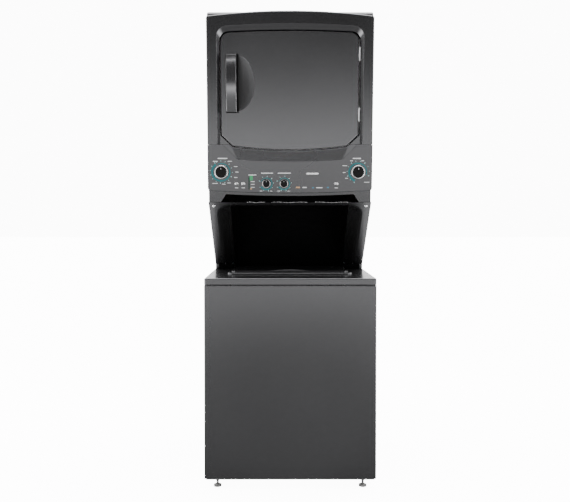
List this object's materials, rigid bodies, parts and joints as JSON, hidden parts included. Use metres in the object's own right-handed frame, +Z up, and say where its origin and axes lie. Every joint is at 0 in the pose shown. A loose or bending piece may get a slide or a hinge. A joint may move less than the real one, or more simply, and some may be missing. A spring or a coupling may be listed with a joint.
{
  "type": "washer dryer stack",
  "caption": "One-piece laundry tower: top-loading washer with a hinged glass lid below, and a leaning vented dryer above with a hinged door, knobs and buttons.",
  "frame": {"origin": "centre of the footprint at floor level", "axes": "+Z up, -Y towards the user (front), +X to the right seen from the front"},
  "size_m": [0.686, 0.784, 1.925],
  "materials": {
    "graphite": "metallic graphite-grey enamel, satin gloss",
    "graphite_moulded": "moulded, with metallic graphite-grey paint, satin gloss",
    "handle_paint": "moulded, with metallic graphite-grey paint, glossier",
    "fascia_paint": "moulded, with metallic graphite-grey paint, satin",
    "black_plastic": "moulded black",
    "galvanised": "galvanised sheet",
    "front_enamel": "white enamel",
    "foot_plastic": "pale grey moulded",
    "glass": "tinted tempered glass",
    "tub_plastic": "pale grey polypropylene",
    "stainless": "brushed stainless",
    "agitator_plastic": "pale grey-blue moulded",
    "steel": "turned or pressed steel",
    "cast": "cast",
    "motor_paint": "black enamel",
    "pulley_metal": "turned",
    "belt_rubber": "moulded",
    "seal_rubber": "felted grey",
    "white_plastic": "moulded white",
    "pump_plastic": "moulded grey",
    "screw_metal": "plated",
    "knob_black": "black with a chromed skirt",
    "button_metal": "plated",
    "status_green": "dark green lens"
  },
  "bodies": {
    "machine": {"base_frame": "galvanised", "leveling_feet": "foot_plastic", "washer_cabinet": "graphite", "washer_front_panel": "graphite", "washer_top_deck": "graphite", "lid_hinge_brackets": "black_plastic", "lid_lock": "black_plastic", "outer_tub": "tub_plastic", "tub_ring": "tub_plastic", "gearcase": "cast", "washer_motor": "motor_paint", "washer_belt": "belt_rubber", "suspension_rods": "steel", "drain_pump": "pump_plastic", "drain_outlet": "pump_plastic", "inlet_valve": "white_plastic", "tower_sides": "graphite", "tower_rear_panel": "galvanised", "dryer_top_panel": "graphite", "dryer_front_frame": "graphite_moulded", "control_fascia": "fascia_paint", "status_window": "status_green", "lower_valance": "graphite_moulded", "access_panel": "graphite_moulded", "panel_screws": "screw_metal", "pocket_liner": "black_plastic", "door_hinge_brackets": "steel", "front_bulkhead": "front_enamel", "rear_bulkhead": "galvanised", "heater_housing": "galvanised", "dryer_motor": "motor_paint", "drum_belt": "belt_rubber", "blower_housing": "galvanised", "exhaust_duct": "galvanised", "lint_duct": "black_plastic"},
    "washer_lid": {"washer_lid_frame": "graphite_moulded", "washer_lid_glass": "glass"},
    "basket": {"wash_basket": "stainless", "balance_ring": "tub_plastic"},
    "agitator": {"agitator": "agitator_plastic", "agitator_shaft": "steel", "washer_drive_pulley": "cast"},
    "washer_rotor": {"washer_motor_pulley": "pulley_metal"},
    "dryer_door": {"door_outer_panel": "graphite", "door_inner_panel": "white_plastic", "door_handle": "handle_paint", "door_hinge_leaves": "steel", "door_seal": "seal_rubber"},
    "drum": {"dryer_drum": "stainless", "drum_baffles": "white_plastic"},
    "dryer_rotor": {"dryer_motor_pulley": "steel", "blower_wheel": "white_plastic"},
    "lint_filter": {"lint_filter": "white_plastic"},
    "washer_cycle_knob": {"washer_cycle_knob": "knob_black"},
    "dryer_cycle_knob": {"dryer_cycle_knob": "knob_black"},
    "temperature_knob": {"temperature_knob": "knob_black"},
    "load_size_knob": {"load_size_knob": "knob_black"},
    "rinse_button": {"rinse_button": "button_metal"},
    "soak_button": {"soak_button": "button_metal"},
    "start_button": {"start_button": "button_metal"}
  },
  "joints": [
    {"name": "lid_hinge", "type": "hinge", "parent": "machine", "child": "washer_lid", "pos_m": [0, 0.113, 0.853], "axis": [-1, 0, 0], "range_deg": [0, 97]},
    {"name": "basket_spin", "type": "hinge", "parent": "machine", "child": "basket", "pos_m": [0, -0.03, 0.3], "axis": [0, 0, 1], "continuous": true},
    {"name": "agitator_turn", "type": "hinge", "parent": "machine", "child": "agitator", "pos_m": [0, -0.03, 0.3], "axis": [0, 0, 1], "continuous": true},
    {"name": "washer_motor_spin", "type": "hinge", "parent": "machine", "child": "washer_rotor", "pos_m": [-0.195, -0.11, 0.09], "axis": [0, 0, 1], "continuous": true},
    {"name": "door_hinge", "type": "hinge", "parent": "machine", "child": "dryer_door", "pos_m": [0.285, -0.25258, 1.50968], "axis": [0, -0.1097, 0.994], "range_deg": [0, 110]},
    {"name": "drum_spin", "type": "hinge", "parent": "machine", "child": "drum", "pos_m": [0, 0.06, 1.522], "axis": [0, 1, 0], "continuous": true},
    {"name": "dryer_motor_spin", "type": "hinge", "parent": "machine", "child": "dryer_rotor", "pos_m": [-0.15, 0.25, 1.06], "axis": [0, 1, 0], "continuous": true},
    {"name": "lint_filter_slide", "type": "slide", "parent": "machine", "child": "lint_filter", "axis": [0, 0, 1], "range_m": [0, 0.12]},
    {"name": "washer_cycle_turn", "type": "hinge", "parent": "machine", "child": "washer_cycle_knob", "pos_m": [-0.285, -0.24755, 1.2728], "axis": [0, -0.994, -0.1097], "continuous": true},
    {"name": "dryer_cycle_turn", "type": "hinge", "parent": "machine", "child": "dryer_cycle_knob", "pos_m": [0.283, -0.24755, 1.2728], "axis": [0, -0.994, -0.1097], "continuous": true},
    {"name": "temperature_turn", "type": "hinge", "parent": "machine", "child": "temperature_knob", "pos_m": [-0.098, -0.24228, 1.22509], "axis": [0, -0.994, -0.1097], "range_deg": [-60, 60]},
    {"name": "load_size_turn", "type": "hinge", "parent": "machine", "child": "load_size_knob", "pos_m": [-0.025, -0.24228, 1.22509], "axis": [0, -0.994, -0.1097], "range_deg": [-60, 60]},
    {"name": "rinse_press", "type": "slide", "parent": "machine", "child": "rinse_button", "axis": [0, 0.994, 0.1097], "range_m": [0, 0.002], "stiffness_N_per_m": 600},
    {"name": "soak_press", "type": "slide", "parent": "machine", "child": "soak_button", "axis": [0, 0.994, 0.1097], "range_m": [0, 0.002], "stiffness_N_per_m": 600},
    {"name": "start_press", "type": "slide", "parent": "machine", "child": "start_button", "axis": [0, 0.994, 0.1097], "range_m": [0, 0.002], "stiffness_N_per_m": 600}
  ],
  "couplings": [
    {"joint": "washer_motor_spin", "follows": "agitator_turn", "ratio": 4.75},
    {"joint": "dryer_motor_spin", "follows": "drum_spin", "ratio": 21.071}
  ]
}
